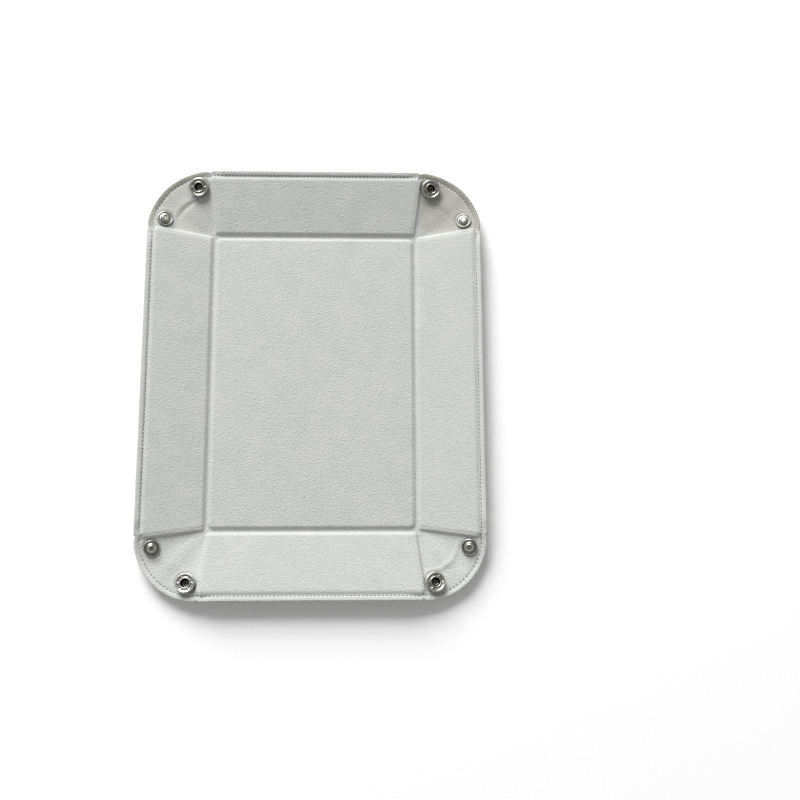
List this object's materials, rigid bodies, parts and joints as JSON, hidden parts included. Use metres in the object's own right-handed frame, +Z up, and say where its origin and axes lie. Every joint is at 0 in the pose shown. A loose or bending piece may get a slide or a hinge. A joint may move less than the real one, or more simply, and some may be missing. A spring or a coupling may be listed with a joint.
{
  "type": "folding tray",
  "caption": "Shallow folding tray: board-stiffened floor and walls in soft lining, with fold-in corners that press studs hold up.",
  "frame": {"origin": "centre of the underside of the floor panel, where it stands on the table", "axes": "+Z up out of the tray, +Y along the long side towards the back wall, +X towards the right wall"},
  "size_m": [0.214, 0.274, 0.0109],
  "materials": {
    "lining": "short-nap suede cloth",
    "backing": "smooth coated cloth",
    "board": "grey board",
    "nickel": "polished nickel plate",
    "thread": "grey polyester sewing thread",
    "spring_wire": "bright wire"
  },
  "bodies": {
    "floor": {"floor_board": "board", "floor_lining": "lining", "floor_backing": "backing"},
    "wall_back": {"wall_back_board": "board", "wall_back_lining": "lining", "wall_back_backing": "backing"},
    "wall_front": {"wall_front_board": "board", "wall_front_lining": "lining", "wall_front_backing": "backing"},
    "wall_left": {"wall_left_board": "board", "wall_left_lining": "lining", "wall_left_backing": "backing"},
    "wall_right": {"wall_right_board": "board", "wall_right_lining": "lining", "wall_right_backing": "backing"},
    "gusset_a_bl": {"gusset_a_bl_lining": "lining", "gusset_a_bl_backing": "backing", "socket_bl": "nickel", "socket_cap_bl": "nickel", "socket_spring_bl": "spring_wire"},
    "gusset_b_bl": {"gusset_b_bl_lining": "lining", "gusset_b_bl_backing": "backing", "stud_bl": "nickel", "stud_post_bl": "nickel"},
    "spine_bl": {"spine_bl_lining": "lining", "spine_bl_backing": "backing"},
    "gusset_a_br": {"gusset_a_br_lining": "lining", "gusset_a_br_backing": "backing", "socket_br": "nickel", "socket_cap_br": "nickel", "socket_spring_br": "spring_wire"},
    "gusset_b_br": {"gusset_b_br_lining": "lining", "gusset_b_br_backing": "backing", "stud_br": "nickel", "stud_post_br": "nickel"},
    "spine_br": {"spine_br_lining": "lining", "spine_br_backing": "backing"},
    "gusset_a_fl": {"gusset_a_fl_lining": "lining", "gusset_a_fl_backing": "backing", "socket_fl": "nickel", "socket_cap_fl": "nickel", "socket_spring_fl": "spring_wire"},
    "gusset_b_fl": {"gusset_b_fl_lining": "lining", "gusset_b_fl_backing": "backing", "stud_fl": "nickel", "stud_post_fl": "nickel"},
    "spine_fl": {"spine_fl_lining": "lining", "spine_fl_backing": "backing"},
    "gusset_a_fr": {"gusset_a_fr_lining": "lining", "gusset_a_fr_backing": "backing", "socket_fr": "nickel", "socket_cap_fr": "nickel", "socket_spring_fr": "spring_wire"},
    "gusset_b_fr": {"gusset_b_fr_lining": "lining", "gusset_b_fr_backing": "backing", "stud_fr": "nickel", "stud_post_fr": "nickel"},
    "spine_fr": {"spine_fr_lining": "lining", "spine_fr_backing": "backing"}
  },
  "joints": [
    {"name": "fold_wall_back", "type": "hinge", "parent": "floor", "child": "wall_back", "pos_m": [0, 0.0945, 0.0013], "axis": [1, 0, 0], "range_deg": [-10, 71.92], "stiffness_Nm_per_rad": 0.06},
    {"name": "fold_wall_front", "type": "hinge", "parent": "floor", "child": "wall_front", "pos_m": [0, -0.0945, 0.0013], "axis": [-1, 0, 0], "range_deg": [-10, 71.92], "stiffness_Nm_per_rad": 0.06},
    {"name": "fold_wall_left", "type": "hinge", "parent": "floor", "child": "wall_left", "pos_m": [-0.0645, 0, 0.0013], "axis": [0, 1, 0], "range_deg": [-10, 71.92], "stiffness_Nm_per_rad": 0.06},
    {"name": "fold_wall_right", "type": "hinge", "parent": "floor", "child": "wall_right", "pos_m": [0.0645, 0, 0.0013], "axis": [0, -1, 0], "range_deg": [-10, 71.92], "stiffness_Nm_per_rad": 0.06},
    {"name": "fold_gusset_a_bl", "type": "hinge", "parent": "wall_back", "child": "gusset_a_bl", "pos_m": [-0.0605, 0.0945, 0.0013], "axis": [0.1392, -0.9752, -0.172], "range_deg": [-5.71, 40.92]},
    {"name": "fold_gusset_b_bl", "type": "hinge", "parent": "wall_left", "child": "gusset_b_bl", "pos_m": [-0.0645, 0.0905, 0.0013], "axis": [-0.9752, 0.1392, 0.172], "range_deg": [-5.71, 40.92]},
    {"name": "fold_spine_bl", "type": "hinge", "parent": "floor", "child": "spine_bl", "pos_m": [-0.0625, 0.0925, 0.0013], "axis": [0.7071, 0.7071, 0], "range_deg": [-5.22, 37.39]},
    {"name": "fold_gusset_a_br", "type": "hinge", "parent": "wall_back", "child": "gusset_a_br", "pos_m": [0.0605, 0.0945, 0.0013], "axis": [0.1392, 0.9752, 0.172], "range_deg": [-5.71, 40.92]},
    {"name": "fold_gusset_b_br", "type": "hinge", "parent": "wall_right", "child": "gusset_b_br", "pos_m": [0.0645, 0.0905, 0.0013], "axis": [-0.9752, -0.1392, -0.172], "range_deg": [-5.71, 40.92]},
    {"name": "fold_spine_br", "type": "hinge", "parent": "floor", "child": "spine_br", "pos_m": [0.0625, 0.0925, 0.0013], "axis": [0.7071, -0.7071, 0], "range_deg": [-5.22, 37.39]},
    {"name": "fold_gusset_a_fl", "type": "hinge", "parent": "wall_front", "child": "gusset_a_fl", "pos_m": [-0.0605, -0.0945, 0.0013], "axis": [-0.1392, -0.9752, 0.172], "range_deg": [-5.71, 40.92]},
    {"name": "fold_gusset_b_fl", "type": "hinge", "parent": "wall_left", "child": "gusset_b_fl", "pos_m": [-0.0645, -0.0905, 0.0013], "axis": [0.9752, 0.1392, -0.172], "range_deg": [-5.71, 40.92]},
    {"name": "fold_spine_fl", "type": "hinge", "parent": "floor", "child": "spine_fl", "pos_m": [-0.0625, -0.0925, 0.0013], "axis": [-0.7071, 0.7071, 0], "range_deg": [-5.22, 37.39]},
    {"name": "fold_gusset_a_fr", "type": "hinge", "parent": "wall_front", "child": "gusset_a_fr", "pos_m": [0.0605, -0.0945, 0.0013], "axis": [-0.1392, 0.9752, -0.172], "range_deg": [-5.71, 40.92]},
    {"name": "fold_gusset_b_fr", "type": "hinge", "parent": "wall_right", "child": "gusset_b_fr", "pos_m": [0.0645, -0.0905, 0.0013], "axis": [0.9752, -0.1392, 0.172], "range_deg": [-5.71, 40.92]},
    {"name": "fold_spine_fr", "type": "hinge", "parent": "floor", "child": "spine_fr", "pos_m": [0.0625, -0.0925, 0.0013], "axis": [-0.7071, -0.7071, 0], "range_deg": [-5.22, 37.39]}
  ],
  "couplings": [
    {"joint": "fold_wall_front", "follows": "fold_wall_back", "ratio": 1},
    {"joint": "fold_wall_left", "follows": "fold_wall_back", "ratio": 1},
    {"joint": "fold_wall_right", "follows": "fold_wall_back", "ratio": 1},
    {"joint": "fold_gusset_a_bl", "follows": "fold_wall_back", "ratio": 0.56871},
    {"joint": "fold_gusset_b_bl", "follows": "fold_wall_back", "ratio": 0.56871},
    {"joint": "fold_spine_bl", "follows": "fold_wall_back", "ratio": 0.51957},
    {"joint": "fold_gusset_a_br", "follows": "fold_wall_back", "ratio": 0.56871},
    {"joint": "fold_gusset_b_br", "follows": "fold_wall_back", "ratio": 0.56871},
    {"joint": "fold_spine_br", "follows": "fold_wall_back", "ratio": 0.51957},
    {"joint": "fold_gusset_a_fl", "follows": "fold_wall_back", "ratio": 0.56871},
    {"joint": "fold_gusset_b_fl", "follows": "fold_wall_back", "ratio": 0.56871},
    {"joint": "fold_spine_fl", "follows": "fold_wall_back", "ratio": 0.51957},
    {"joint": "fold_gusset_a_fr", "follows": "fold_wall_back", "ratio": 0.56871},
    {"joint": "fold_gusset_b_fr", "follows": "fold_wall_back", "ratio": 0.56871},
    {"joint": "fold_spine_fr", "follows": "fold_wall_back", "ratio": 0.51957}
  ]
}
